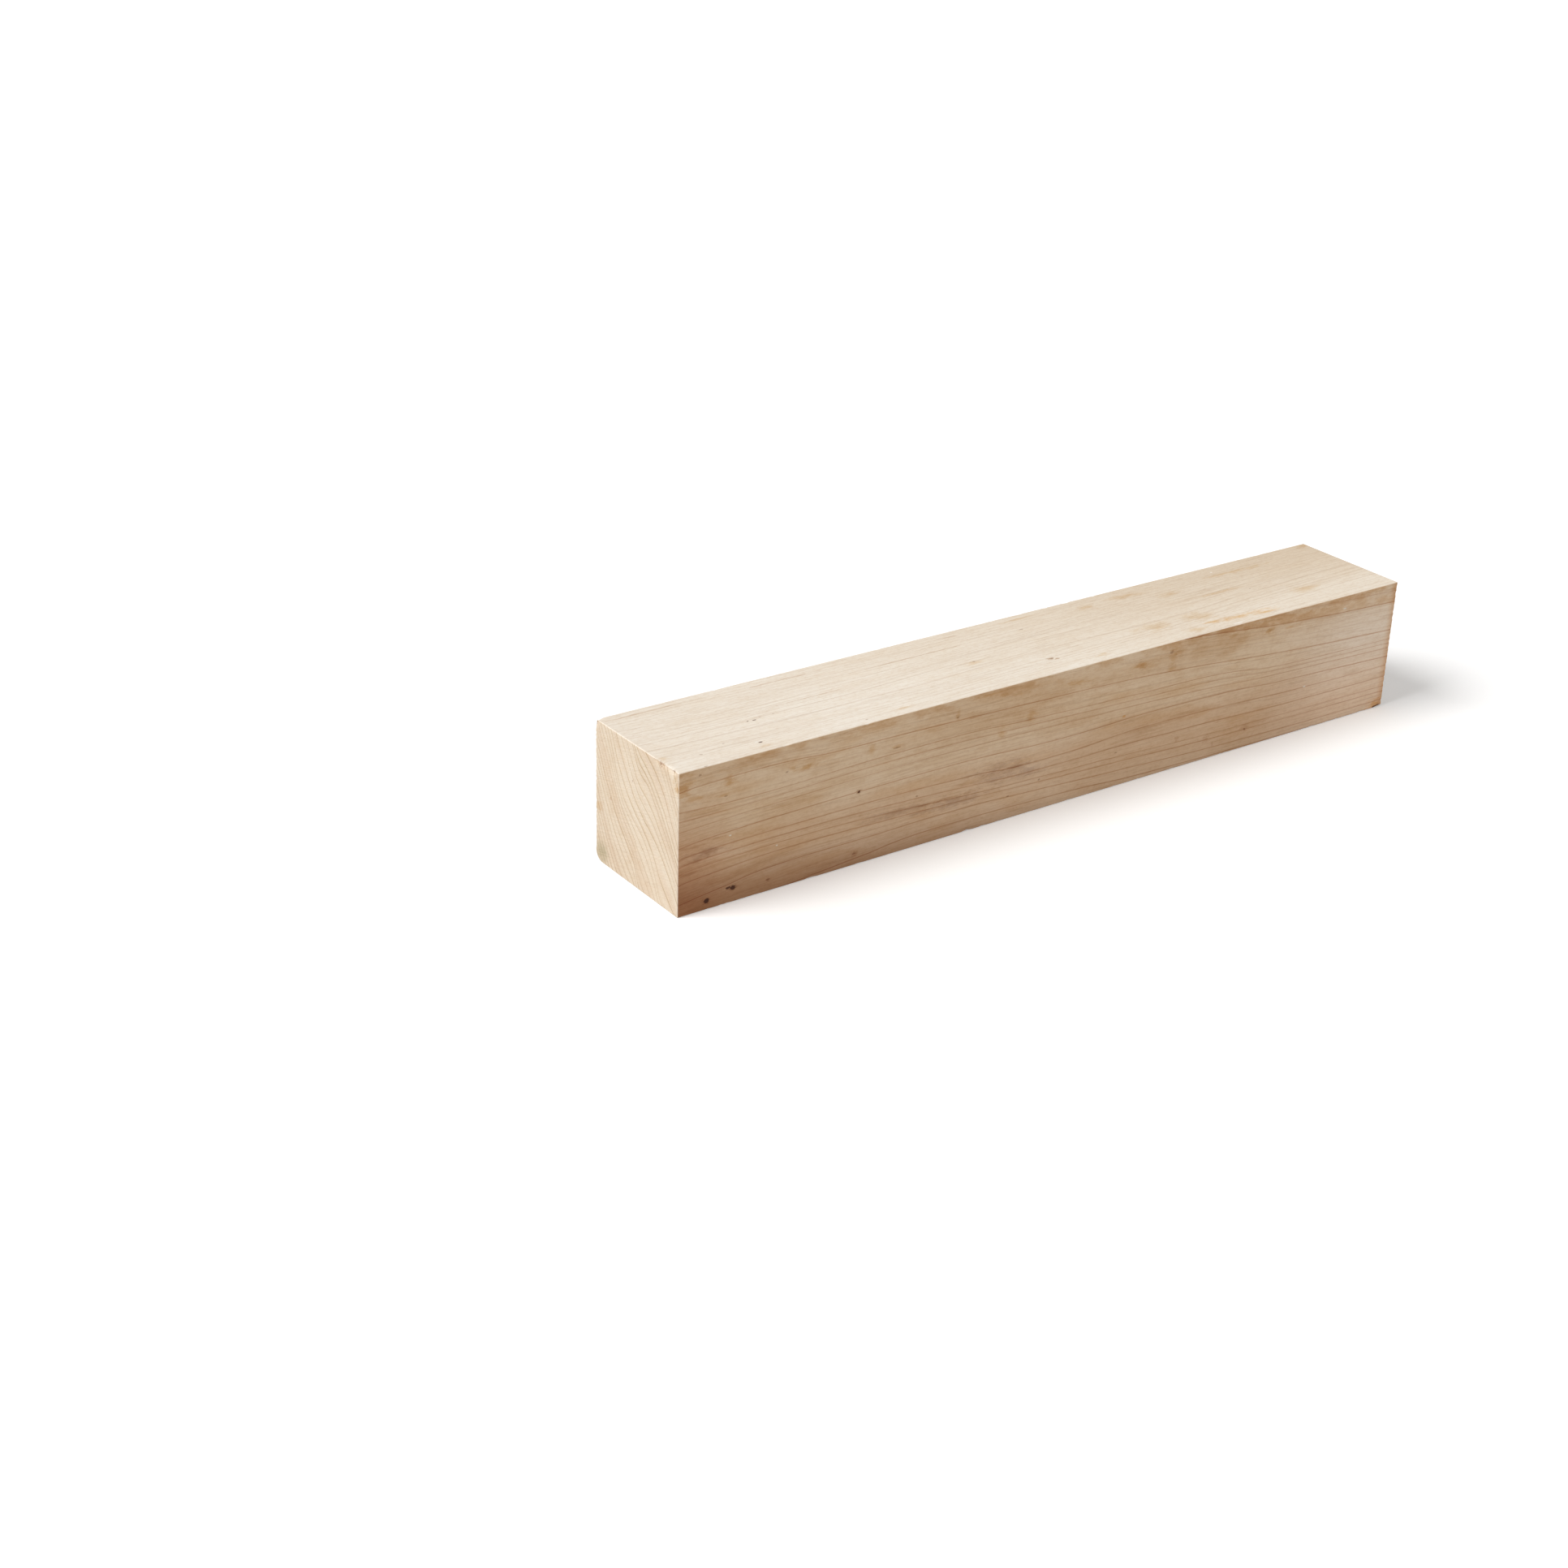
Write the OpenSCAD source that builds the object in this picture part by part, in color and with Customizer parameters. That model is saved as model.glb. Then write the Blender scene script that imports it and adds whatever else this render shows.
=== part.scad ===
// A square turning blank: one length of pale hardwood, sawn to a near-square section and
// cut to length, ready to be held between the centres of a lathe.
// X runs along the grain, Y across the blank from front to rear, and Z is up.
// The origin is in the middle of the long face that the blank lies on.

/* [Blank] */
// Length along the grain, from one end cut to the other
blank_length = 305; // [100:1:900]
// Width across the grain, from front to rear
blank_width = 47; // [30:0.5:100]
// Height across the grain, as the blank lies
blank_height = 48; // [30:0.5:100]

/* [Long edges] */
// Radius of the front top edge, left almost as sharp as it was sawn
front_top_radius = 0.3; // [0.1:0.1:8]
// Radius of the front bottom edge
front_bottom_radius = 0.4; // [0.1:0.1:8]
// Radius of the rear top edge, dulled by handling
rear_top_radius = 0.9; // [0.1:0.1:8]
// Radius of the rear bottom edge, rounded over
rear_bottom_radius = 3.6; // [0.1:0.1:8]

/* [Split corner] */
// How far the break runs along the front bottom edge, back from the far end
split_length = 4.5; // [1:0.1:12]
// How far the break reaches in from the front face
split_depth = 1.6; // [0.5:0.1:12]
// How far the break climbs up the far end
split_height = 0.8; // [0.5:0.1:12]

/* [Hidden] */
$fn = 48;

// How far a cut runs past the wood that it removes
overcut = 1;

// Lowest and highest corners of the section, seen along the grain: [across, up]
section_low = [-blank_width / 2, 0];
section_high = [blank_width / 2, blank_height];

// The break is one flat face. Its normal points out of the wood, towards the lost corner,
// and follows from where the face meets the three edges of that corner.
break_normal = [1 / split_length, -1 / split_depth, -1 / split_height];
break_tilt = acos(break_normal.z / norm(break_normal));
break_turn = atan2(break_normal.y, break_normal.x);
break_centre = [-split_length, split_depth, split_height] / 3;
break_size = 2 * max(split_length, split_depth, split_height) + overcut;

// The waste between a sharp corner at the origin and an arc of the given radius.
// The wood lies towards positive x and y.
module corner_waste(radius) {
    difference() {
        translate([-overcut, -overcut])
            square(radius + overcut);
        translate([radius, radius])
            circle(radius);
    }
}

// The sawn section, with each of its four corners eased to a radius of its own
module section() {
    difference() {
        translate(section_low)
            square(section_high - section_low);
        translate([section_low.x, section_low.y])
            corner_waste(front_bottom_radius);
        translate([section_high.x, section_low.y])
            mirror([1, 0])
                corner_waste(rear_bottom_radius);
        translate([section_low.x, section_high.y])
            mirror([0, 1])
                corner_waste(front_top_radius);
        translate([section_high.x, section_high.y])
            rotate(180)
                corner_waste(rear_top_radius);
    }
}

// The block that takes the split corner away, with one face on the break
module split_waste() {
    translate([blank_length / 2, section_low.x, section_low.y] + break_centre)
        rotate([0, break_tilt, break_turn])
            translate([-break_size / 2, -break_size / 2, 0])
                cube(break_size);
}

// The whole blank: the section drawn out along the grain, less the split corner
module blank() {
    color([0.91, 0.86, 0.76])
        difference() {
            translate([-blank_length / 2, 0, 0])
                rotate([90, 0, 90])
                    linear_extrude(height = blank_length)
                        section();
            split_waste();
        }
}

blank();
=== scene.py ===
# %% [markdown]
# # A wood turning blank
# A turning blank is the stock that a wood turner starts from: one length of sawn hardwood,
# nearly square, with two sawn ends. This one is pale maple. Its shape is plain, so nearly
# all of its character is in the grain, the stains and the small damage of its edges.
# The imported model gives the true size, and everything below is worked out from its box.

# %% Load the fixed frame
from math import pi, radians

import bpy
import numpy as np
from mathutils import Matrix, Vector


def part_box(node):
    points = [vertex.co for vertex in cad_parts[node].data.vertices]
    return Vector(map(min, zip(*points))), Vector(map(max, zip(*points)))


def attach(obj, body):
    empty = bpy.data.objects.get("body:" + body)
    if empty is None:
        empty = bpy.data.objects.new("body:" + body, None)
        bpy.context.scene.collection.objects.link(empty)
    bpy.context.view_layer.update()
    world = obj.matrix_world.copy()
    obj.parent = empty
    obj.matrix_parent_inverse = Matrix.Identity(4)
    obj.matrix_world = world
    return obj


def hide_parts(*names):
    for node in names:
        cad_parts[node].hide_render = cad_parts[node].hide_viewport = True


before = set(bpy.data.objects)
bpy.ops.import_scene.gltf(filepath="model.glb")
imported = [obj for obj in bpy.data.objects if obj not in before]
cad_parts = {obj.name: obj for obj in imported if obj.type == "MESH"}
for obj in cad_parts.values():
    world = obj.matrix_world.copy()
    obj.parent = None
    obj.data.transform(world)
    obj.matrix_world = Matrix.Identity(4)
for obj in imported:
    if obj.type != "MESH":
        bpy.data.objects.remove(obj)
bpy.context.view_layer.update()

MM = 0.001
low, high = ([axis / MM for axis in corner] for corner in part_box("blank"))
length, width, height = (top - bottom for bottom, top in zip(low, high))
print(f"the blank measures {length:.1f} by {width:.1f} by {height:.1f} mm")

# %% [markdown]
# ## Camera
# The camera stands to the left of the near end and looks along the blank, a little down.
# A camera could be aimed with a constraint, but a turn, a tilt and a roll written as plain
# angles say the same thing and stay put when other views move it.

# %% Place the camera
camera_place = Vector((-0.5194, -0.5843, 0.3634))
turned_right = radians(35.83)
tilted_down = radians(25.38)
rolled = radians(1.73)
lens = bpy.data.cameras.new("Camera")
lens.sensor_width = 36
lens.lens = 58.08
camera = bpy.data.objects.new("Camera", lens)
camera.matrix_world = (
    Matrix.Translation(camera_place)
    @ Matrix.Rotation(-turned_right, 4, "Z")
    @ Matrix.Rotation(pi / 2 - tilted_down, 4, "X")
    @ Matrix.Rotation(rolled, 4, "Z")
)
bpy.context.collection.objects.link(camera)
bpy.context.scene.camera = camera
bpy.context.scene.view_settings.view_transform = "Standard"
print("camera at", camera_place, "with a", lens.lens, "mm lens")

# %% [markdown]
# ## Shader maths as plain expressions
# A material's numbers flow through Math nodes, which are slow to read when each is made and
# linked by hand. This class holds one output socket. Arithmetic on it adds the Math nodes,
# and its one method adds any other node to the same tree.

# %% A socket that can be reckoned with
class Wire:
    """One output socket of a node tree. Sums of wires and numbers make Math nodes."""

    def __init__(self, tree, socket=None):
        self.tree = tree
        self.socket = socket

    def node(self, kind, inputs=None, output=0, stops=None, points=None, **settings):
        """Adds a node: its settings first, then its inputs, each a number, a tuple or a wire."""
        made = self.tree.nodes.new(kind)
        for name, value in settings.items():
            setattr(made, name, value)
        if stops:
            elements = made.color_ramp.elements
            elements[0].position = stops[0][0]
            elements[1].position = stops[-1][0]
            for position, colour in stops[1:-1]:
                elements.new(position)
            for element, (position, colour) in zip(elements, stops):
                element.color = (*colour, 1)
        if points:
            curve = made.mapping.curves[0]
            while len(curve.points) < len(points):
                curve.points.new(0.5, 0.5)
            for point, position in zip(curve.points, points):
                point.location = position
            made.mapping.update()
        for key, value in (inputs or {}).items():
            socket = find_socket(made.inputs, key)
            if isinstance(value, Wire):
                self.tree.links.new(value.socket, socket)
            else:
                socket.default_value = value
        return Wire(self.tree, find_socket(made.outputs, output))

    def math(self, operation, *others):
        values = dict(enumerate((self, *others)))
        return self.node("ShaderNodeMath", values, operation=operation)

    def math_after(self, operation, other):
        return self.node("ShaderNodeMath", {0: other, 1: self}, operation=operation)

    def __add__(self, other):
        return self.math("ADD", other)

    def __radd__(self, other):
        return self.math_after("ADD", other)

    def __sub__(self, other):
        return self.math("SUBTRACT", other)

    def __rsub__(self, other):
        return self.math_after("SUBTRACT", other)

    def __mul__(self, other):
        return self.math("MULTIPLY", other)

    def __rmul__(self, other):
        return self.math_after("MULTIPLY", other)

    def __truediv__(self, other):
        return self.math("DIVIDE", other)

    def __rtruediv__(self, other):
        return self.math_after("DIVIDE", other)

    def __neg__(self):
        return self.math("MULTIPLY", -1)

    def at_least(self, other):
        return self.math("MAXIMUM", other)

    def at_most(self, other):
        return self.math("MINIMUM", other)


def find_socket(sockets, key):
    """A socket by its number, or by its identifier or name, as on a Mix node with many A's."""
    if isinstance(key, int):
        return sockets[key]
    for label in ("identifier", "name"):
        for socket in sockets:
            if getattr(socket, label) == key and socket.enabled:
                return socket
    raise KeyError(key)


def new_material(name):
    """A material with an empty tree, its output node and a wire to start from."""
    material = bpy.data.materials.new(name)
    material.use_nodes = True
    material.node_tree.nodes.clear()
    output = material.node_tree.nodes.new("ShaderNodeOutputMaterial")
    return material, output, Wire(material.node_tree)


print("shader helper ready")

# %% [markdown]
# ## Floor and light
# The blank lies in a white studio. More light would bleach the pale wood long before it
# made a floor pure white, so the whiteness is in the floor itself: rays from the camera meet
# a floor that glows a little, and the rays that light the wood meet a plain grey one.
# The glow is weak enough that the soft shadow still shows.

# %% Make the floor
floor_half_size = 8.0
floor_glow = 0.24
seen_floor_colour = (0.86, 0.86, 0.86, 1)
lighting_floor_colour = (0.45, 0.44, 0.43, 1)


def backdrop_ray(start):
    """1 for the rays that show a background: straight from the camera, mirrored or refracted."""
    rays = [start.node("ShaderNodeLightPath", output=f"Is {kind} Ray")
            for kind in ("Camera", "Glossy", "Transmission")]
    return rays[0].at_least(rays[1]).at_least(rays[2])


floor_material, output, start = new_material("studio_floor")
lighting_floor = start.node(
    "ShaderNodeBsdfDiffuse", {"Color": lighting_floor_colour}, "BSDF")
seen_floor = start.node("ShaderNodeAddShader", {
    0: start.node("ShaderNodeBsdfDiffuse", {"Color": seen_floor_colour}, "BSDF"),
    1: start.node("ShaderNodeEmission", {"Strength": floor_glow}, "Emission"),
})
floor_shader = start.node("ShaderNodeMixShader", {
    0: backdrop_ray(start), 1: lighting_floor, 2: seen_floor})
start.tree.links.new(floor_shader.socket, output.inputs["Surface"])

corners = [(x * floor_half_size, y * floor_half_size, 0)
           for x, y in ((-1, -1), (1, -1), (1, 1), (-1, 1))]
floor_mesh = bpy.data.meshes.new("floor")
floor_mesh.from_pydata(corners, [], [(0, 1, 2, 3)])
floor_mesh.materials.append(floor_material)
floor = bpy.data.objects.new("floor", floor_mesh)
bpy.context.collection.objects.link(floor)
print("floor", 2 * floor_half_size, "m across")

# %% Hang the lamps
# Each lamp stands far off: where it is, how strong, how wide in degrees, and its colour.
lamps = {
    "key": ((-0.64, 0.16, 0.66), 2.95, 34, (1.0, 1.0, 1.0)),
    "warm_fill": ((0.25, -0.90, 0.30), 0.74, 60, (1.0, 0.87, 0.74)),
}
for name, (direction, strength, spread_angle, colour) in lamps.items():
    lamp = bpy.data.lights.new(name, "SUN")
    lamp.energy = strength
    lamp.angle = radians(spread_angle)
    lamp.color = colour
    lamp_object = bpy.data.objects.new(name, lamp)
    lamp_object.rotation_euler = Vector(direction).to_track_quat("Z", "Y").to_euler()
    bpy.context.collection.objects.link(lamp_object)

sky_level = 0.31
world = bpy.data.worlds.new("studio")
bpy.context.scene.world = world
world.use_nodes = True
world.node_tree.nodes.clear()
start = Wire(world.node_tree)
sky = start.node("ShaderNodeBackground", {
    "Color": (1, 1, 1, 1), "Strength": sky_level + (1 - sky_level) * backdrop_ray(start)})
world_output = world.node_tree.nodes.new("ShaderNodeOutputWorld")
world.node_tree.links.new(sky.socket, world_output.inputs["Surface"])
print("lamps:", ", ".join(lamps))

# %% [markdown]
# ## The block
# A cube with a bevel would give the outline, but real sawn stock has four long edges that
# differ: two almost as sharp as the saw left them, one dulled and one rounded over. The
# section is therefore drawn once as a closed loop of points, with an arc of its own radius
# at each corner, and the loop is repeated along the grain. Points crowd together near the
# edges, because that is where the wood gets nicked and torn.

# %% Draw the section
edge_radii = {"front_bottom": 0.4, "rear_bottom": 3.6, "rear_top": 0.9, "front_top": 0.3}
edge_turns = {"front_bottom": 180, "rear_bottom": 270, "rear_top": 0, "front_top": 90}
arc_steps = {"front_bottom": 4, "rear_bottom": 9, "rear_top": 5, "front_top": 4}
close_steps = (0.25, 0.65, 1.2)
flat_step = 0.82


def spread(distance, step):
    """Places from 0 to a distance: an even step in the middle and closer at both ends."""
    inner = distance - 2 * close_steps[-1]
    count = round(inner / step)
    middle = close_steps[-1] + inner * np.arange(1, count) / count
    close = np.array(close_steps)
    return np.concatenate([[0], close, middle, distance - close[::-1], [distance]])


def section_corner(name):
    """The middle of a corner's arc, across and up."""
    radius = edge_radii[name]
    across = low[1] + radius if "front" in name else high[1] - radius
    up = low[2] + radius if "bottom" in name else high[2] - radius
    return np.array([across, up])


def section_loop():
    """Points round the section, counter-clockwise as seen from the far end, with their normals."""
    places, normals = [], []
    names = list(edge_radii)
    for name, following in zip(names, names[1:] + names[:1]):
        angles = np.radians(edge_turns[name] + np.linspace(0, 90, arc_steps[name] + 1))
        arc_normals = np.column_stack([np.cos(angles), np.sin(angles)])
        arc = section_corner(name) + edge_radii[name] * arc_normals
        last = arc_normals[-1]
        next_start = section_corner(following) + edge_radii[following] * last
        gap = next_start - arc[-1]
        shares = spread(np.linalg.norm(gap), flat_step)[1:-1] / np.linalg.norm(gap)
        places += [arc, arc[-1] + shares[:, None] * gap]
        normals += [arc_normals, np.tile(last, (len(shares), 1))]
    return np.vstack(places), np.vstack(normals)


section, section_normals = section_loop()
print("section of", len(section), "points")

# %% Draw the section out along the grain
end_edge_radius = 0.25
end_edge_steps = 3
along_step = 1.2


def end_stations(x_end, facing):
    """Stations from the middle of an end face, out to its rim and over its eased edge.

    Each is a place along x, the share of the way out from the middle, how far the outline
    is drawn in, and how much the surface faces along x.
    """
    half = width / 2
    from_rim = spread(width, flat_step)
    from_rim = from_rim[from_rim < half - flat_step / 2][::-1]
    stations = [(x_end, 1 - step / half, end_edge_radius, facing) for step in from_rim]
    for turn in np.linspace(0, pi / 2, end_edge_steps + 1)[1:]:
        back = end_edge_radius * (1 - np.cos(turn))
        inset = end_edge_radius * (1 - np.sin(turn))
        stations.append((x_end - facing * back, 1, inset, facing * np.cos(turn)))
    return stations


straight = spread(length - 2 * end_edge_radius, along_step)[1:-1]
stations = end_stations(low[0], -1)
stations += [(low[0] + end_edge_radius + x, 1, 0, 0) for x in straight]
stations += end_stations(high[0], 1)[::-1]

section_middle = (section.min(0) + section.max(0)) / 2
grid = []
grid_normals = []
for x, share, inset, facing in stations:
    outline = section - inset * section_normals
    outline = section_middle + share * (outline - section_middle)
    sideways = np.sqrt(1 - facing ** 2) * section_normals
    grid.append(np.column_stack([np.full(len(section), x), outline]))
    grid_normals.append(np.column_stack([np.full(len(section), facing), sideways]))
points = np.vstack(grid)
normals = np.vstack(grid_normals)
print(len(stations), "stations,", len(points), "points")

# %% [markdown]
# ## Wear and damage
# Edges of sawn maple chip where they are knocked, and the saw tears a few fibres out where
# it leaves the wood. Sculpting these by hand would be lost on the next run, and a
# displacement texture would move the flat faces too. Each dent is instead a small bowl with
# a place, a reach and a depth, and every point within its reach sinks along the surface
# normal, always inwards, so the block never outgrows its true box.

# %% Places on the faces
# Distances are in millimetres: along from the near end, down from the top, in from the rear.
def on_top(along, from_rear):
    return (low[0] + along, high[1] - from_rear, high[2])


def on_front(along, down):
    return (low[0] + along, low[1], high[2] - down)


def on_rear(along, down):
    return (low[0] + along, high[1], high[2] - down)


def on_bottom(along, from_rear):
    return (low[0] + along, high[1] - from_rear, low[2])


def on_near_end(from_rear, down):
    return (low[0], high[1] - from_rear, high[2] - down)


def on_far_end(from_rear, down):
    return (high[0], high[1] - from_rear, high[2] - down)


print("the top begins at", on_top(0, 0), "and the bottom at", on_bottom(0, 0))

# %% Sink the dents
random = np.random.default_rng(11)
knocks_on_an_edge = 26
deepest_dent = 0.7
dents = []

# Knocks along the four long edges
for edge in (on_top(0, 0), on_top(0, width), on_bottom(0, 0), on_bottom(0, width)):
    for along in random.uniform(2, length - 2, knocks_on_an_edge):
        place = (edge[0] + along, edge[1], edge[2])
        dents.append((place, random.uniform(0.6, 1.9), random.uniform(0.05, 0.22)))

# A knock that rounds the rear top corner of the near end
dents.append((on_near_end(0, 0), 2.6, 0.55))

# Two chips of the front top edge that catch the light
dents += [(on_front(38, 0), 1.3, 0.45), (on_front(69, 0), 1.1, 0.4)]

# Fibres torn out at the top of the near end, towards the front
for from_rear in np.arange(34.6, 45.5, 0.9):
    place = on_near_end(from_rear, random.uniform(0, 0.7))
    dents.append((place, random.uniform(0.7, 1.4), random.uniform(0.12, 0.5)))

# Breakout down the rear edge of the near end, about one bite for each saw tooth
saw_tooth = 1.55
for down in np.arange(1.5, height - 4, saw_tooth):
    dents.append((on_near_end(0, down), 0.9, random.uniform(0.1, 0.34)))

# The same, weaker, on the edges where the saw left the far end
for down in np.arange(2, height - 2, 2.3):
    dents.append((on_far_end(width, down), 1.0, random.uniform(0.05, 0.22)))
for from_rear in np.arange(2, width - 6, 2.6):
    dents.append((on_far_end(from_rear, height), 1.1, random.uniform(0.05, 0.25)))

# Pin knots and pits
dents += [
    (on_top(152, 36.8), 2.0, 0.18),
    (on_top(33.3, 40.8), 1.6, 0.12),
    (on_front(66.9, 22.7), 1.2, 0.2),
    (on_front(19.8, 43.1), 1.5, 0.25),
    (on_front(10.4, 45), 1.3, 0.2),
    (on_front(196, 5.5), 1.2, 0.18),
    (on_rear(112, 30), 1.6, 0.2),
    (on_bottom(231, 17), 1.5, 0.18),
]

sunk = np.zeros(len(points))
for place, reach, depth in dents:
    closeness = 1 - ((points - place) ** 2).sum(1) / reach ** 2
    sunk += depth * np.clip(closeness, 0, 1) ** 1.5
sunk = np.minimum(sunk, deepest_dent)
points -= normals * sunk[:, None]
print(len(dents), "dents, the deepest", sunk.max().round(2), "mm")

# %% [markdown]
# ## The split corner
# A splinter has come off the far front bottom corner, along one flat break. Cutting the mesh
# with a Boolean would leave long thin faces, so the points that stand beyond the break are
# slid onto it instead.

# %% Break the corner
split_length, split_depth, split_height = 4.5, 1.6, 0.8
raggedness = 0.12
corner = np.array([high[0], low[1], low[2]])
slope = np.array([1 / split_length, -1 / split_depth, -1 / split_height])
beyond = (points - corner) @ slope + 1
ragged = raggedness * np.sin(5 * points[:, 1] + 3 * points[:, 2])
step_back = np.clip(beyond + np.where(beyond > 0, ragged, 0), 0, None)
points -= step_back[:, None] * slope / (slope @ slope)
points = np.clip(points, low, high)
print((step_back > 0).sum(), "points on the break")

# %% Make the block's mesh
around = len(section)
quads = []
for row in range(len(stations) - 1):
    for column in range(around):
        beside = (column + 1) % around
        quads.append((row * around + column, row * around + beside,
                      (row + 1) * around + beside, (row + 1) * around + column))
near_middle = len(points)
far_middle = near_middle + 1
last_row = (len(stations) - 1) * around
for column in range(around):
    beside = (column + 1) % around
    quads.append((near_middle, beside, column))
    quads.append((far_middle, last_row + column, last_row + beside))
middles = [(low[0], *section_middle), (high[0], *section_middle)]
points = np.vstack([points, middles])

sharp_fold = radians(50)
block_mesh = bpy.data.meshes.new("turning_blank")
block_mesh.from_pydata((points * MM).tolist(), [], quads)
block_mesh.polygons.foreach_set("use_smooth", [True] * len(block_mesh.polygons))
block_mesh.set_sharp_from_angle(angle=sharp_fold)
block = bpy.data.objects.new("turning_blank", block_mesh)
bpy.context.collection.objects.link(block)
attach(block, "root")
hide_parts("blank")
print("block of", sum(len(face) - 2 for face in quads), "triangles")

# %% [markdown]
# ## Where a point is in the tree
# A turner reads a block by its growth rings. One set of rings runs through the whole block,
# so the same ring that crosses the end comes out as a long line on the front. An image
# wrapped round the block would break at every edge. A ring depth worked out in space for
# every point joins up by itself: lay the point's place in the section over to the front face
# along the sloping, S-bent rings, and then straighten the long lines of that face.

# %% Coordinates in millimetres
maple, output, start = new_material("pale_maple")


def split_vector(vector):
    return [start.node("ShaderNodeSeparateXYZ", {0: vector}, axis) for axis in "XYZ"]


def join_vector(x, y, z):
    return start.node("ShaderNodeCombineXYZ", {0: x, 1: y, 2: z})


def vector_math(operation, *values, output=0, **named):
    inputs = {**dict(enumerate(values)), **named}
    return start.node("ShaderNodeVectorMath", inputs, output, operation=operation)


place = vector_math(
    "SCALE", start.node("ShaderNodeTexCoord", output="Object"), Scale=1 / MM)
x, y, z = split_vector(place)
along = x - low[0]
from_rear = high[1] - y
down = high[2] - z
print("coordinates ready")

# %% Ring depth
def drawn_line(place_along, span, drawn):
    """The depth of a line drawn as points, at any place along its span."""
    shallow = min(depth for step, depth in drawn)
    deep = max(depth for step, depth in drawn)
    scaled = [(step / span, (depth - shallow) / (deep - shallow)) for step, depth in drawn]
    curve = start.node("ShaderNodeFloatCurve", {"Value": place_along / span}, points=scaled)
    return curve * (deep - shallow) + shallow


def straighten(depth, place_along, span, drawn_lines, true_depths):
    """Moves a depth so that each drawn line comes to lie at its true depth all along.

    Also gives how much that has stretched the wood there.
    """
    lines = [drawn_line(place_along, span, drawn) for drawn in drawn_lines]
    moved = true_depths[0] + (depth - lines[0]).at_most(0)
    stretch = 1
    for upper, lower, upper_true, lower_true in zip(lines, lines[1:], true_depths, true_depths[1:]):
        gap = lower - upper
        true_gap = lower_true - upper_true
        share = ((depth - upper) / gap).at_least(0).at_most(1)
        moved += share * true_gap
        inside = share.math("GREATER_THAN", 0) * share.math("LESS_THAN", 1)
        stretch += inside * (true_gap / gap - 1)
    return moved + (depth - lines[-1]).at_least(0), stretch


# Five rings across the near end, each drawn from the rear face over to the front face
end_rings = (
    ((0, -46), (20, -9), (28.5, 0), (34, 4.5), (38.5, 9.5), (42.5, 16.5), (47, 24.9)),
    ((0, -36), (15, -11), (21.2, 0), (25, 7), (30.5, 11), (36.5, 18.5), (41.5, 25.5), (47, 33.7)),
    ((0, -24), (12, 0), (16.3, 8), (22, 17), (28, 23), (34, 27.5), (40.5, 34.5), (47, 43.8)),
    ((0, -13), (8, 2), (15.5, 19), (20.5, 24), (28, 30), (33.5, 38), (37.5, 46.5), (47, 54)),
    ((0, 5), (9, 23), (13, 29), (18, 35), (22.5, 40.5), (25, 47), (47, 72)),
)
front_depth, end_stretch = straighten(
    down, from_rear, width, end_rings, [drawn[-1][1] for drawn in end_rings])

# Long lines of the front face, each drawn from the near end to the far end
long_lines = (
    ((0, 6.5), (9, 5.8), (35, 5.3), (56, 6.6), (86, 7.0), (134, 8.2), (167, 9.1), (206, 11.3),
     (253, 15.3), (305, 18.1)),
    ((0, 12.9), (33, 13.8), (60, 13.2), (100, 12.8), (134, 14.1), (184, 15.7), (213, 16.4),
     (253, 20.2), (305, 21.6)),
    ((0, 19.6), (34, 18.5), (95, 17.8), (150, 18.9), (202, 20.4), (245, 22.9), (305, 25)),
    ((0, 24.9), (17, 23.7), (60, 22.7), (103, 22.6), (155, 24.2), (195, 23.8), (253, 26.3),
     (305, 28.3)),
    ((0, 28.9), (30, 27.4), (73, 27.4), (112, 28.5), (150, 30), (185, 28.8), (227, 29.8),
     (262, 31.2), (305, 32)),
    ((0, 33.7), (17, 32.4), (45, 32.1), (77, 33.2), (129, 35.7), (176, 37.1), (227, 38.8),
     (305, 40.1)),
    ((0, 43.8), (17, 41.7), (43, 39.5), (70, 39.5), (103, 39.1), (134, 40.2), (176, 42.3),
     (253, 44.9), (305, 45.3)),
    ((0, 49.6), (40, 47.6), (70, 45.5), (103, 43.5), (146, 44.4), (193, 46.5), (250, 47.6),
     (305, 48.4)),
)
ring_depth, stretch = straighten(
    front_depth, along, length, long_lines, [drawn[0][1] for drawn in long_lines])


def noise(vector, scale, detail=2.0, roughness=0.5):
    """A cloudy value about 0.5. The scale is in clouds for each unit of the vector."""
    return start.node("ShaderNodeTexNoise", {
        "Vector": vector, "Scale": scale, "Detail": detail, "Roughness": roughness})


def stretched(x_share, y_share, z_share):
    """The place with each direction scaled, so that noise on it is drawn out along the grain."""
    return vector_math("MULTIPLY", place, (x_share, y_share, z_share))


# Rings waver a little, most of all at the rear, where no line was drawn
wander = noise(stretched(0.03, 0.14, 0.14), 1.0, 3.0) - 0.5
ring_depth += wander * (0.6 + 1.0 * (1 - from_rear / width))
print("ring depth from", len(end_rings) + len(long_lines), "drawn lines")

# %% [markdown]
# ## The ring lines
# Maple grows a thin brown line at the end of each year. The years were not equally good, so
# the lines are neither evenly spaced nor equally dark. A Wave texture would make them both.
# A stepped colour ramp works as a ladder instead: for any ring depth it gives the nearest
# line's own depth in red, its darkness in green and its width in blue.

# %% The ladder of rings
# Depth on the front face at the near end, in millimetres, and how dark: the lines seen there
front_rings = (
    (-8.6, 0.50), (-4.3, 1.00), (6.5, 1.00), (12.9, 0.80), (16.0, 0.68), (19.6, 0.66),
    (24.9, 0.95), (28.9, 0.84), (31.4, 0.78), (33.7, 0.70), (37.4, 0.80), (40.5, 0.10),
    (43.8, 0.90), (49.6, 0.95), (54, 0.60), (57.4, 0.45), (61.3, 0.60), (64.6, 0.50),
    (68.7, 0.60), (72, 0.90),
)
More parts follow.
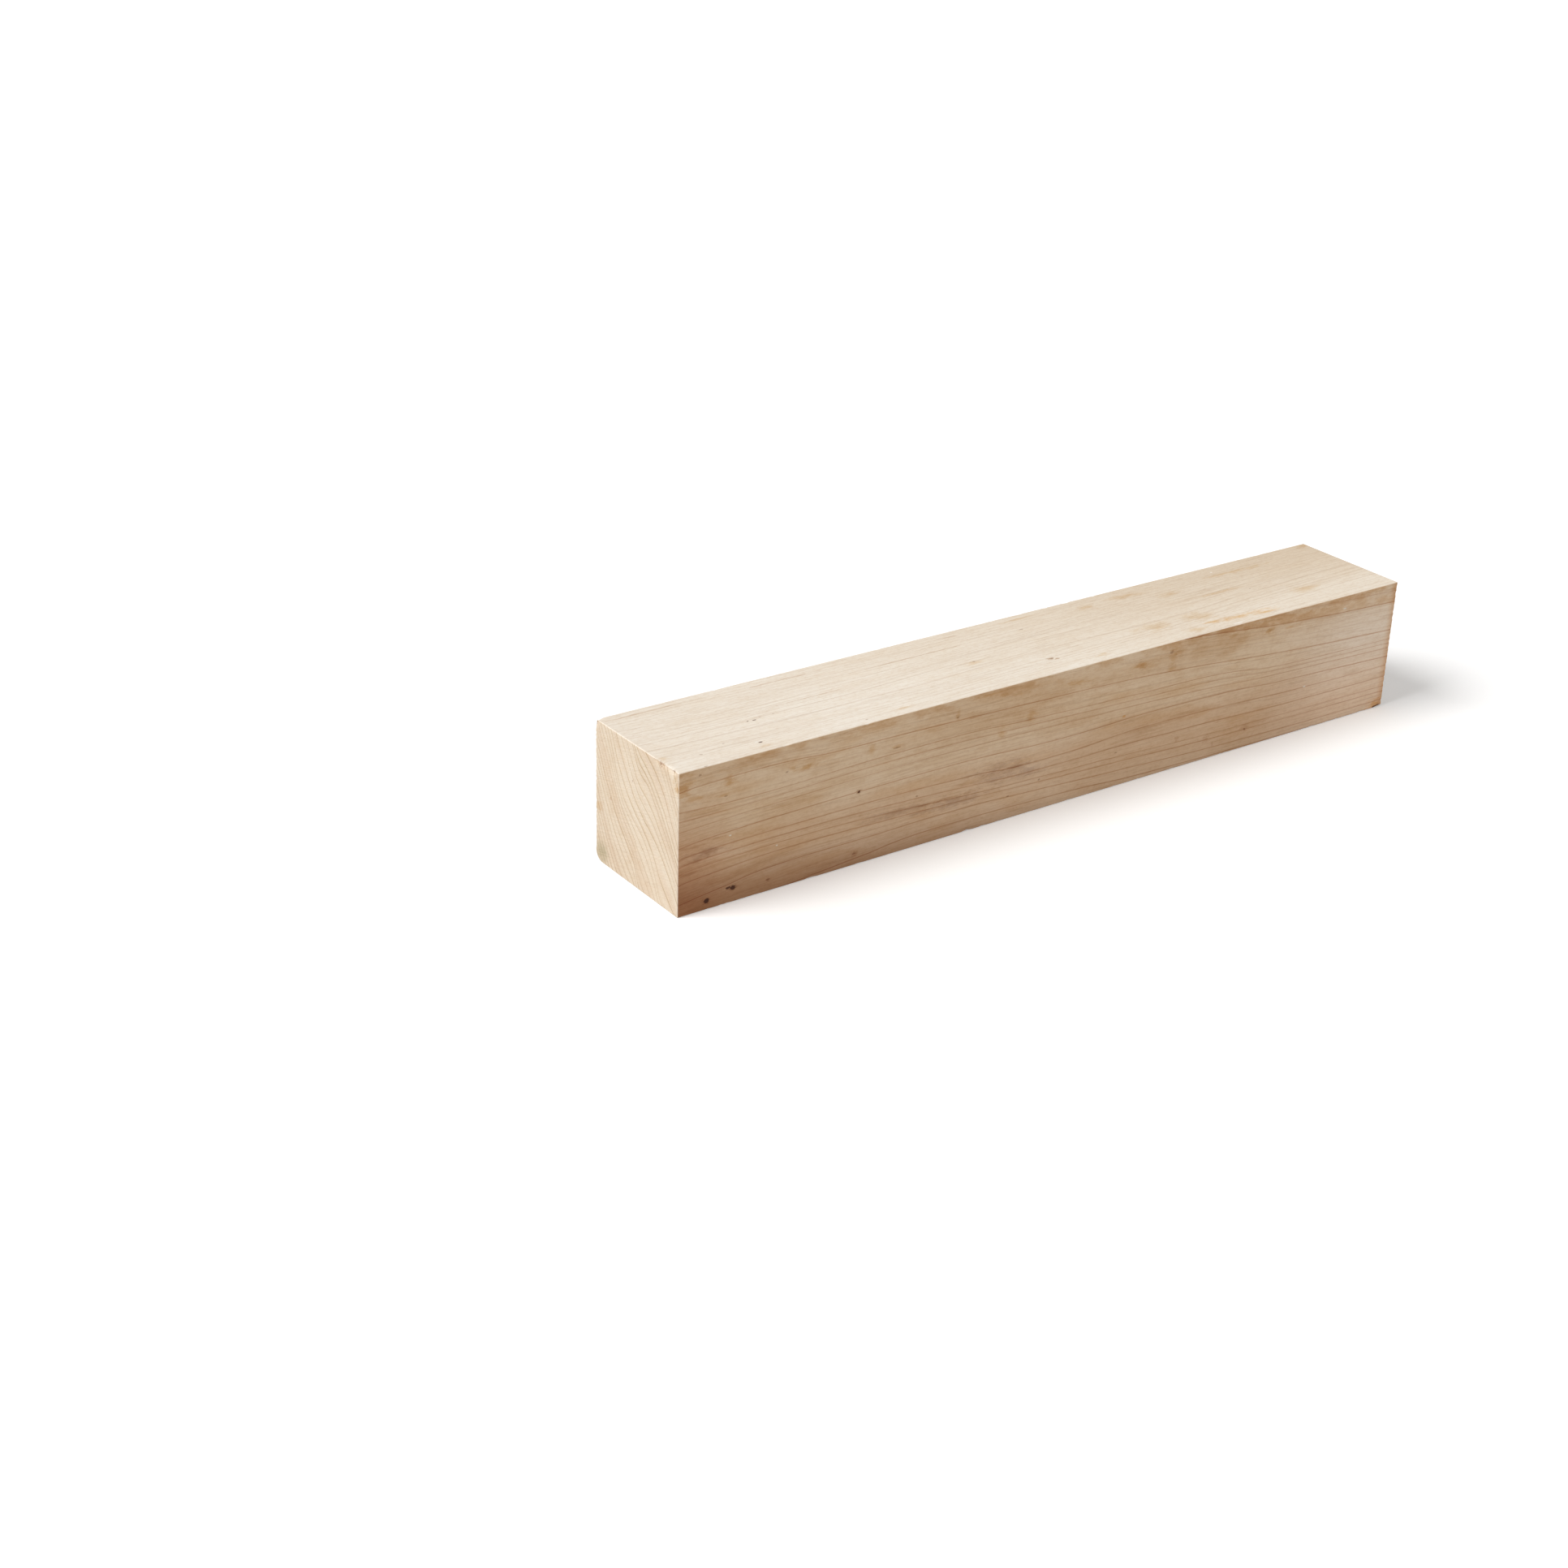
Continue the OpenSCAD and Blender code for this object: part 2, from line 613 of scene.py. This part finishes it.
# Deeper in, no line shows in front, so the years there are drawn by chance
deepest_ring = 117
ladder_margin = 4
years = list(front_rings)
while years[-1][0] < deepest_ring - ladder_margin:
    years.append((years[-1][0] + random.uniform(3.3, 4.6), random.uniform(0.35, 0.8)))
ladder_start = years[0][0] - ladder_margin
ladder_length = deepest_ring - ladder_start
rungs = [(0.0, years[0])]
for before, after in zip(years, years[1:]):
    rungs.append((((before[0] + after[0]) / 2 - ladder_start) / ladder_length, after))
ladder_stops = [
    (place_up, ((depth - ladder_start) / ladder_length, dark, random.uniform(0.7, 1.3) / 2))
    for place_up, (depth, dark) in rungs]

ladder = start.node(
    "ShaderNodeValToRGB", {0: (ring_depth - ladder_start) / ladder_length}, "Color",
    stops=ladder_stops)
ladder.socket.node.color_ramp.interpolation = "CONSTANT"
line_place, line_darkness, line_width = [
    start.node("ShaderNodeSeparateColor", {0: ladder}, channel)
    for channel in ("Red", "Green", "Blue")]
past_line = (ring_depth - (line_place * ladder_length + ladder_start)) / (stretch * end_stretch)
print(len(years), "rings")

# %% [markdown]
# ## Faces of the block
# The same wood looks different on each face. Across the end the cut pores drink light, the
# top was planed last and is palest, and the front has gone tan with years of air and also
# holds painted warm reflected light in its tone.
# The object's own normal says which face a point is on, and it stays right in any pose.

# %% Tell the faces apart
def soft(value, begin, end):
    """Rises smoothly from 0 to 1 while the value goes from begin to end."""
    return start.node(
        "ShaderNodeMapRange", {"Value": value, "From Min": begin, "From Max": end}, "Result",
        interpolation_type="SMOOTHSTEP")


def wide_colour(colour):
    return colour if isinstance(colour, Wire) else (*colour, 1)


def blend(amount, under, over, how="MIX"):
    """Lays one colour over another, all of it where the amount is 1."""
    return start.node("ShaderNodeMix", {
        "Factor_Float": amount, "A_Color": wide_colour(under), "B_Color": wide_colour(over),
    }, "Result_Color", data_type="RGBA", blend_type=how)


def stain(colour, amount, tint):
    """Darkens a colour by a tint, as thin stain does."""
    return blend(amount, colour, tint, "MULTIPLY")


face_x, face_y, face_z = split_vector(start.node("ShaderNodeTexCoord", output="Normal"))
front, rear, top, bottom = [
    soft(facing, 0.35, 0.9) for facing in (-face_y, face_y, face_z, -face_z)]
ends = soft(face_x.math("ABSOLUTE"), 0.5, 0.95)
flatness = face_x.math("ABSOLUTE").at_least(face_y.math("ABSOLUTE"))
flatness = flatness.at_least(face_z.math("ABSOLUTE"))
arris = soft(flatness, 0.985, 0.85)

pale_top = (0.863, 0.807, 0.722)
# The front's colour is its own tan together with painted warm reflected light
front_tan_and_reflection = (0.855, 0.687, 0.501)
cream_end = (0.846, 0.738, 0.600)
tan_rear = (0.800, 0.670, 0.520)
tan_bottom = (0.790, 0.640, 0.470)
tone = blend(front, pale_top, front_tan_and_reflection)
tone = blend(rear, tone, tan_rear)
tone = blend(bottom, tone, tan_bottom)
tone = blend(ends, tone, cream_end)
print("face tones ready")

# %% [markdown]
# ## Colour that drifts
# No face of real wood has one even colour. Sap, air and handling leave cloudy areas as long
# as a hand. The front is also darkest at its near bottom corner, and that darkening is painted
# shade. One gradient would be too plain and one noise too even, so a few soft masks lie over
# each other, each with a thin stain of its own.

# %% Clouds over the whole block
cloud = soft(noise(stretched(0.014, 0.05, 0.05), 1.0, 3.0), 0.38, 0.72)
tone = stain(tone, cloud * (0.35 + 0.65 * front), (0.90, 0.84, 0.77))
warm_cloud = soft(noise(stretched(0.022, 0.11, 0.11), 1.7, 3.0), 0.45, 0.75)
tone = stain(tone, warm_cloud * (0.25 + 0.75 * front), (0.93, 0.86, 0.77))
mottle = noise(stretched(0.10, 0.24, 0.24), 1.0, 4.0, 0.65)
upper_front = soft(0.45 * height - down, 0, 0.40 * height) * front
mottle_shown = 0.12 + 0.16 * front + 0.42 * upper_front
tone = stain(tone, soft(mottle, 0.44, 0.68) * mottle_shown, (0.88, 0.80, 0.70))
print("clouds and mottling ready")

# %% Darker and paler parts of the front
# It is darker towards its bottom and its near bottom corner, which is painted shade, darker
# towards its two short edges, and paler at the far end, which is painted light
# Painted shade: the lower part of the front is darkened
low_front_painted_shade = soft(down, 0.38 * height, 0.65 * height) * front
tone = stain(tone, low_front_painted_shade, (0.955, 0.915, 0.905))
# Painted shade: the near bottom corner of the front is darkened and browned
near_corner_painted_shade = soft(down - along * 0.10, 0.56 * height, 0.93 * height) * front
tone = stain(tone, near_corner_painted_shade, (0.58, 0.44, 0.35))
near_edge = soft(along, 0.085 * length, 0) * soft(down, 0, 0.7 * height) * front
tone = stain(tone, near_edge, (0.82, 0.68, 0.59))
# Painted light: the upper far stretch of the front is lifted towards a pale colour
far_painted_light = soft(along, 0.76 * length, 0.97 * length) * soft(down, -10, 0.4 * height) * front
tone = blend(far_painted_light, tone, (0.990, 0.868, 0.733))
far_low = soft(along, 0.75 * length, 0.95 * length) * soft(down, 0.3 * height, 0.9 * height) * front
tone = stain(tone, far_low, (0.985, 0.885, 0.805))
far_edge = soft(along, length - 4, length) * front
tone = stain(tone, far_edge, (0.84, 0.68, 0.54))

# Browner wood above the uppermost growth line, and in a band below the top edge
above_lines = soft(-ring_depth, 3.4, 4.6) * soft(mottle, 0.30, 0.60) * front
tone = stain(tone, above_lines * 0.85, (0.86, 0.74, 0.60))
top_band = soft(4.5 - down, 0, 3.5) * soft(mottle, 0.42, 0.62) * front
tone = stain(tone, top_band * 0.55, (0.88, 0.77, 0.64))
print("front shading ready")

# %% Darker parts of the top
# It is palest near the front of the near end, and darkens towards the rear and the far end
far_top = soft(along, 0.30 * length, 1.0 * length) * soft(from_rear, 1.2 * width, 0) * top
tone = stain(tone, far_top * 0.72, (0.81, 0.745, 0.66))
rear_top = soft(from_rear, 0.9 * width, 0) * top
tone = stain(tone, rear_top, (0.965, 0.945, 0.920))
beyond_near_end = soft(along, 0.10 * length, 0.75 * length) * top
tone = stain(tone, beyond_near_end, (0.955, 0.935, 0.905))
print("top shading ready")

# %% [markdown]
# ## Fibres and growth lines
# Between its year lines maple shows short fibres, tiny dashes and faint lines that fork and
# fade. A Wave texture has one size of detail. Noise drawn out along the grain gives each
# size a layer of its own, and noise that is looked up by ring depth follows the rings.

# %% Fibres
fibre = noise(stretched(0.10, 1.5, 1.5), 1.0, 3.0, 0.7)
fibre_shown = 0.45 + 0.12 * front - 0.25 * ends
tone = stain(tone, soft(fibre, 0.40, 0.72) * fibre_shown, (0.88, 0.82, 0.75))
speckle = noise(stretched(0.7, 1.3, 1.3), 1.0, 2.0, 0.6)
tone = stain(tone, soft(speckle, 0.42, 0.68) * (0.50 - 0.30 * ends), (0.90, 0.85, 0.79))
dash = noise(stretched(0.30, 3.2, 3.2), 1.0, 1.0)
dashes = soft(dash, 0.64, 0.74) * (1 - ends)
tone = stain(tone, dashes * 0.40, (0.78, 0.66, 0.56))

# Streaks that keep company with the growth lines all along the block
streak_place = join_vector(along * 0.008, ring_depth * 0.9, from_rear * 0.03)
streaks = noise(streak_place, 1.0, 3.0, 0.7)
tone = stain(tone, soft(streaks, 0.48, 0.74) * (0.26 - top * 0.12), (0.84, 0.74, 0.66))
print("fibres and streaks ready")

# %% Faint lines between the rings
# They start, fork and fade as the contour lines of a cloud that is drawn out along the rings
faint_place = join_vector(along * 0.009, ring_depth * 0.62, from_rear * 0.02)
faint = (noise(faint_place, 1.0, 1.0) - 0.5).math("ABSOLUTE")
faint_line = 1 - soft(faint, 0.0, 0.040)
faint_shown = front * 0.28 + (rear + bottom) * 0.25 + top * 0.22 + ends * 0.22
tone = stain(tone, faint_line * faint_shown, (0.66, 0.54, 0.43))
print("faint lines ready")

# %% Growth lines
# A thin line ends each year, and the late wood just before it is a little darker too
late_wood_width = 2.0
line_half_width = 0.18 + 0.20 * line_width + ends * 0.18 + top * 0.12
thin_line = 1 - soft(past_line.math("ABSOLUTE"), 0.0, line_half_width)
late_wood = soft(past_line, -late_wood_width, 0.0) * (1 - soft(past_line, 0.0, 0.4))
uneven = soft(noise(stretched(0.03, 0.25, 0.25), 1.0, 2.0), 0.25, 0.65)
seen_on = front * 0.98 + bottom * 0.9 + rear * 0.8 + top * 0.44 + ends * 0.95
line_amount = thin_line * line_darkness.at_least(ends * 0.6 + top * 0.72)
line_amount *= (0.75 + 0.35 * uneven) * seen_on
late_amount = late_wood * (0.3 + 0.7 * line_darkness) * (seen_on * 0.11 + ends * 0.22)
tone = stain(tone, late_amount, (0.88, 0.77, 0.65))
line_tint = blend(top, (0.70, 0.52, 0.42), (0.74, 0.65, 0.59))
line_tint = blend(ends, line_tint, (0.68, 0.62, 0.48))
tone = stain(tone, line_amount.at_most(1), line_tint)
print("growth lines ready")

# %% [markdown]
# ## Stains, knots and specks
# The block's own history is in its marks: pin knots, a grey mineral streak, brown patches
# where sap stained it and pale flecks where a chip came off. Noise alone would scatter such
# marks evenly, and it is their odd places that make this block this one. Each mark is an
# oval at a given place, and noise breaks up its edge.

# %% A group of marks
def marks(spots, ragged, blur, grain):
    """1 inside any of the ovals. A spot is its place, half its length and half its width."""
    nearest = None
    for spot, half_length, half_width in spots:
        shrink = (1 / half_length, 1 / half_width, 1 / half_width)
        offset = tuple(-centre * share for centre, share in zip(spot, shrink))
        distance = vector_math(
            "LENGTH", vector_math("MULTIPLY_ADD", place, shrink, offset), output="Value")
        nearest = distance if nearest is None else nearest.at_most(distance)
    return soft(1 - nearest + (grain - 0.5) * ragged, 0.0, blur)


fine_grain = noise(stretched(0.9, 1.8, 1.8), 1.0, 2.0)
coarse_grain = noise(stretched(0.20, 0.70, 0.70), 1.0, 5.0, 0.75)

dark_specks = (
    (on_top(40.8, 26.5), 0.8, 0.3), (on_top(38.5, 26.2), 0.4, 0.25), (on_top(33.3, 40.8), 0.8, 0.4),
    (on_front(66.9, 22.7), 0.6, 0.5), (on_front(20.0, 43.1), 1.1, 0.8),
    (on_front(18.4, 42.7), 1.4, 0.4), (on_front(10.4, 45), 1.1, 0.85),
    (on_front(302.5, 47.6), 2.6, 0.7), (on_rear(64, 21), 0.8, 0.4),
    (on_bottom(231, 17), 0.9, 0.5),
)
small_specks = (
    (on_top(152.2, 36.3), 1.1, 0.5), (on_top(43.6, 25.5), 0.5, 0.25),
    (on_top(48.6, 25.5), 0.5, 0.25), (on_top(13, 39), 0.6, 0.3),
    (on_top(23, 36), 0.6, 0.3), (on_top(9.8, 46.7), 0.9, 0.4), (on_top(70.7, 44.3), 0.7, 0.3),
    (on_top(160, 11.7), 1.2, 0.35), (on_top(128.3, 25.4), 0.6, 0.45), (on_top(254.5, 24), 0.5, 0.3),
    (on_front(7.5, 2.3), 0.7, 0.4), (on_front(16.7, 11.4), 0.8, 0.4), (on_front(33, 43.8), 0.8, 0.6),
    (on_front(90, 30), 0.6, 0.35), (on_front(128, 39.8), 0.9, 0.4), (on_front(141, 37), 0.6, 0.4),
    (on_front(174.6, 35.4), 0.6, 0.35), (on_front(39, 9), 0.8, 0.4), (on_front(105, 6.4), 0.8, 0.5),
    (on_front(81, 11), 1.6, 0.3), (on_front(65.8, 43.8), 0.9, 0.4), (on_front(196, 3.5), 1.4, 0.8),
    (on_front(235, 40.8), 0.7, 0.6), (on_near_end(21.6, 12.5), 0.8, 0.4),
    (on_near_end(37, 0.2), 0.8, 1.3), (on_near_end(44, 0.2), 0.7, 0.9),
    (on_rear(188, 9), 0.8, 0.4), (on_bottom(96, 30), 1.0, 0.5),
)
knots = (
    (on_top(151.6, 36.4), 2.0, 1.1), (on_top(153.4, 37.6), 1.2, 0.9),
    (on_front(66.9, 22.7), 1.5, 1.1), (on_front(19.8, 43.1), 2.4, 1.2),
    (on_front(10.4, 45), 2.0, 1.4), (on_rear(112, 30), 2.6, 1.9),
    (on_bottom(231, 17), 2.4, 1.6),
)
faint_knots = (
    (on_front(65.8, 44), 2.2, 1.4), (on_front(216.7, 40.2), 2.2, 1.8),
    (on_front(202.5, 36.8), 1.8, 1.4), (on_front(220, 43), 1.4, 1.1),
    (on_front(235, 40.6), 2.8, 2.2), (on_front(33, 43.8), 1.4, 1.2),
    (on_near_end(38, 0.2), 1.0, 1.9), (on_near_end(44, 0.2), 1.0, 1.2),
    (on_near_end(9, 23.5), 1.2, 0.9),
    (on_rear(250, 12), 3.0, 2.2), (on_bottom(90, 33), 2.6, 2.0),
)
tan_patches = (
    (on_top(33, 43.4), 4.0, 1.8), (on_top(2, 36), 3.0, 2.2), (on_top(86, 43.3), 5.0, 1.4),
    (on_top(128, 26), 6.0, 1.6), (on_top(168, 43), 5.0, 1.8), (on_top(211, 42.5), 6.5, 2.8),
    (on_top(200, 34), 9.5, 5.6), (on_top(220, 34), 9.0, 5.0), (on_top(193, 7.5), 6.0, 3.0),
    (on_top(211, 6.5), 10.5, 2.4), (on_top(164, 3.8), 9.5, 1.1), (on_top(225, 13), 6.0, 2.4),
    (on_top(262, 8.5), 26, 1.8), (on_top(271, 34), 8.0, 4.0), (on_top(303, 2.5), 4.0, 3.0),
    (on_top(244, 21), 14, 1.2),
    (on_front(2, 4), 5.0, 5.0), (on_front(18.5, 8), 5.0, 2.4), (on_front(47, 9.2), 8.0, 1.3),
    (on_front(71, 9.5), 2.2, 3.2), (on_front(81, 10.8), 2.6, 1.0), (on_front(117, 1.4), 10, 0.9),
    (on_front(130, 3.8), 4.5, 1.0), (on_front(123.5, 16), 2.6, 2.6), (on_front(135.5, 13.5), 2.6, 4.0),
    (on_front(154.5, 5.5), 9.0, 2.2), (on_front(183.5, 5.2), 8.0, 2.4), (on_front(199, 4), 5.0, 2.8),
    (on_front(197, 9.8), 3.0, 1.7), (on_front(225, 4), 4.0, 1.3), (on_front(242, 6.5), 4.0, 2.0),
    (on_near_end(1.5, 29), 3.0, 3.0),
    (on_rear(40, 12), 12, 3.0), (on_rear(236, 33), 16, 4.0), (on_rear(150, 42), 14, 2.4),
    (on_bottom(60, 12), 14, 3.0), (on_bottom(180, 36), 18, 3.4),
)
brown_patches = (
    (on_front(1.5, 6), 4.0, 3.0), (on_front(5, 9.5), 5.0, 1.6), (on_front(18, 6.5), 2.4, 3.2),
    (on_front(16.5, 11), 3.2, 0.9), (on_front(41, 8), 2.4, 1.2), (on_front(47.5, 8.6), 3.4, 1.4),
    (on_front(105, 5.5), 1.4, 2.6), (on_front(124, 2.6), 3.0, 1.0), (on_front(183, 5.6), 3.4, 1.5),
    (on_front(197, 5.5), 2.6, 3.0), (on_front(242, 5.5), 2.6, 1.4), (on_front(253, 6.2), 6.0, 0.8),
    (on_rear(64, 22), 5.0, 1.5), (on_bottom(231, 15), 5.0, 2.0),
)
orange_streaks = (
    (on_top(233, 41.4), 18, 1.9), (on_top(222, 40.2), 7.0, 1.5), (on_top(243, 43.0), 8.0, 1.3),
    (on_front(177, 22.5), 1.0, 0.7), (on_front(301, 47), 6.0, 3.0),
    (on_far_end(46, 34), 1.2, 3.0), (on_rear(284, 44), 9.0, 2.0),
)
green_stain = (
    (on_near_end(3.6, 44.2), 2.0, 5.4), (on_far_end(3, 44), 2.0, 2.6), (on_bottom(200, 40), 6.0, 3.0),
)
dark_streaks = (
    (on_top(17, 3.8), 19, 0.5), (on_top(66.5, 5.0), 18, 0.45), (on_top(133.5, 4.5), 6.5, 0.5),
    (on_top(62, 21), 22, 0.4), (on_top(112, 12), 26, 0.4), (on_front(12, 28.5), 5.0, 1.0),
    (on_front(6, 25.5), 6.0, 0.6), (on_front(5, 30.5), 6.0, 0.6), (on_front(14, 24.6), 4.0, 0.5),
    (on_front(3.5, 34), 5.0, 0.6), (on_front(104, 34), 18, 0.6), (on_front(128, 29.6), 12, 0.5),
    (on_rear(90, 38), 24, 0.6), (on_rear(210, 18), 30, 0.5), (on_bottom(120, 22), 30, 0.7),
)
mineral_streak = (
    (on_front(124, 30), 17, 5.0), (on_front(105, 35.8), 20, 3.6), (on_front(136, 32.5), 16, 2.6),
    (on_front(84, 34), 22, 2.4), (on_front(10, 28.5), 10, 2.2),
)
white_flecks = (
    (on_front(38, 0.2), 1.0, 0.5), (on_front(69, 0.2), 0.9, 0.45), (on_front(18.7, 25), 0.7, 0.35),
    (on_front(36, 33), 0.6, 0.35), (on_front(279, 4.8), 1.1, 0.4), (on_front(263, 31), 1.0, 0.4),
    (on_top(32.2, 40.2), 0.8, 0.35), (on_top(254, 5), 0.8, 0.4), (on_top(228, 45.6), 3.4, 0.5),
)

# %% Lay the marks on the wood
# Each kind of mark: its spots, how ragged and how blurred its edge is, which noise breaks
# the edge, how strong the mark is and its tint
kinds_of_mark = (
    (tan_patches, 3.2, 1.10, coarse_grain, 0.85, (0.87, 0.75, 0.59)),
    (brown_patches, 2.4, 0.90, coarse_grain, 0.70, (0.84, 0.69, 0.50)),
    (orange_streaks, 3.2, 1.00, coarse_grain, 0.95, (0.89, 0.68, 0.43)),
    (mineral_streak, 3.2, 1.20, coarse_grain, 0.85, (0.72, 0.66, 0.66)),
    (dark_streaks, 3.0, 0.75, coarse_grain, 0.65, (0.76, 0.64, 0.54)),
    (green_stain, 1.0, 0.90, coarse_grain, 0.80, (0.66, 0.68, 0.57)),
    (faint_knots, 2.0, 0.90, fine_grain, 0.45, (0.66, 0.46, 0.34)),
    (knots, 1.6, 0.75, fine_grain, 0.65, (0.58, 0.42, 0.30)),
    (small_specks, 1.6, 0.50, fine_grain, 0.55, (0.42, 0.28, 0.20)),
    (dark_specks, 1.0, 0.28, fine_grain, 0.95, (0.16, 0.09, 0.06)),
)
for spots, ragged, blur, grain, amount, tint in kinds_of_mark:
    tone = stain(tone, marks(spots, ragged, blur, grain) * amount, tint)
flecks = marks(white_flecks, 0.7, 0.75, fine_grain)
tone = blend(flecks * 0.8, tone, (0.90, 0.87, 0.82))
print(sum(len(kind[0]) for kind in kinds_of_mark) + len(white_flecks), "marks laid")

# %% [markdown]
# ## End grain, edges and the feel of the surface
# A sawn end is rougher than a planed face: cut pores and rays speckle it, and the saw leaves
# fine parallel scratches. Worn edges are burnished and pale. All of this is too fine to
# model, so it is colour, roughness and bump, with the bump's heights in millimetres.

# %% End grain and edges
pores = noise(place, 2.6, 3.0, 0.7)
tone = stain(tone, soft(pores, 0.5, 0.72) * ends * 0.36, (0.88, 0.82, 0.76))
end_corner = soft(down - from_rear * 0.8, 0.1 * height, 0.9 * height) * ends
tone = stain(tone, end_corner, (0.95, 0.94, 0.93))

# Rays cross the rings, and wide bands of warmer wood keep company with them
along_ring = from_rear * 0.6 + down * 0.8
ray_place = join_vector(along_ring * 1.7, front_depth * 0.10, along * 0.05)
rays = noise(ray_place, 1.0, 1.0)
tone = stain(tone, soft(rays, 0.52, 0.68) * ends * 0.35, (0.93, 0.88, 0.82))
year_bands = noise(join_vector(ring_depth * 0.13, along * 0.02, from_rear * 0.02), 1.0, 2.0)
tone = stain(tone, soft(year_bands, 0.40, 0.64) * ends * 0.55, (0.93, 0.87, 0.83))
tone = blend(arris * 0.50, tone, (0.92, 0.85, 0.76))
print("end grain and edges ready")

# %% Roughness and relief
# The saw ran across the ends at a slant, and left chatter on the rear. The planer left
# ripples on the other faces.
saw_mark_pitch = 2.6
planer_mark_pitch = 2.1
saw_place = join_vector(
    (from_rear * 0.25 + down * 0.97) * 1.5, (from_rear * 0.97 - down * 0.25) * 0.06, along)
saw_scratches = noise(saw_place, 1.0, 2.0, 0.6)
chatter = (along * (2 * pi / saw_mark_pitch) + down * 0.35).math("SINE") * noise(place, 0.05)
planer = (along * (2 * pi / planer_mark_pitch)).math("SINE") * noise(place, 0.07)
relief = (fibre - 0.5) * 0.030 * (1 - ends) - thin_line * 0.012
relief += (saw_scratches - 0.5) * ends * 0.10 + (pores - 0.5) * ends * 0.06
relief += chatter * rear * 0.016 + planer * (top + front + bottom) * 0.0035
relief += (fine_grain - 0.5) * 0.012
surface_bump = start.node("ShaderNodeBump", {"Height": relief, "Distance": MM}, "Normal")
roughness = 0.66 + (fibre - 0.5) * 0.20 + ends * 0.12 - arris * 0.10 + dashes * 0.06

wood = start.node("ShaderNodeBsdfPrincipled", {
    "Base Color": tone, "Roughness": roughness, "Normal": surface_bump,
    "Specular IOR Level": 0.24}, "BSDF")
maple.node_tree.links.new(wood.socket, output.inputs["Surface"])
block_mesh.materials.append(maple)
print("maple of", len(maple.node_tree.nodes), "nodes")
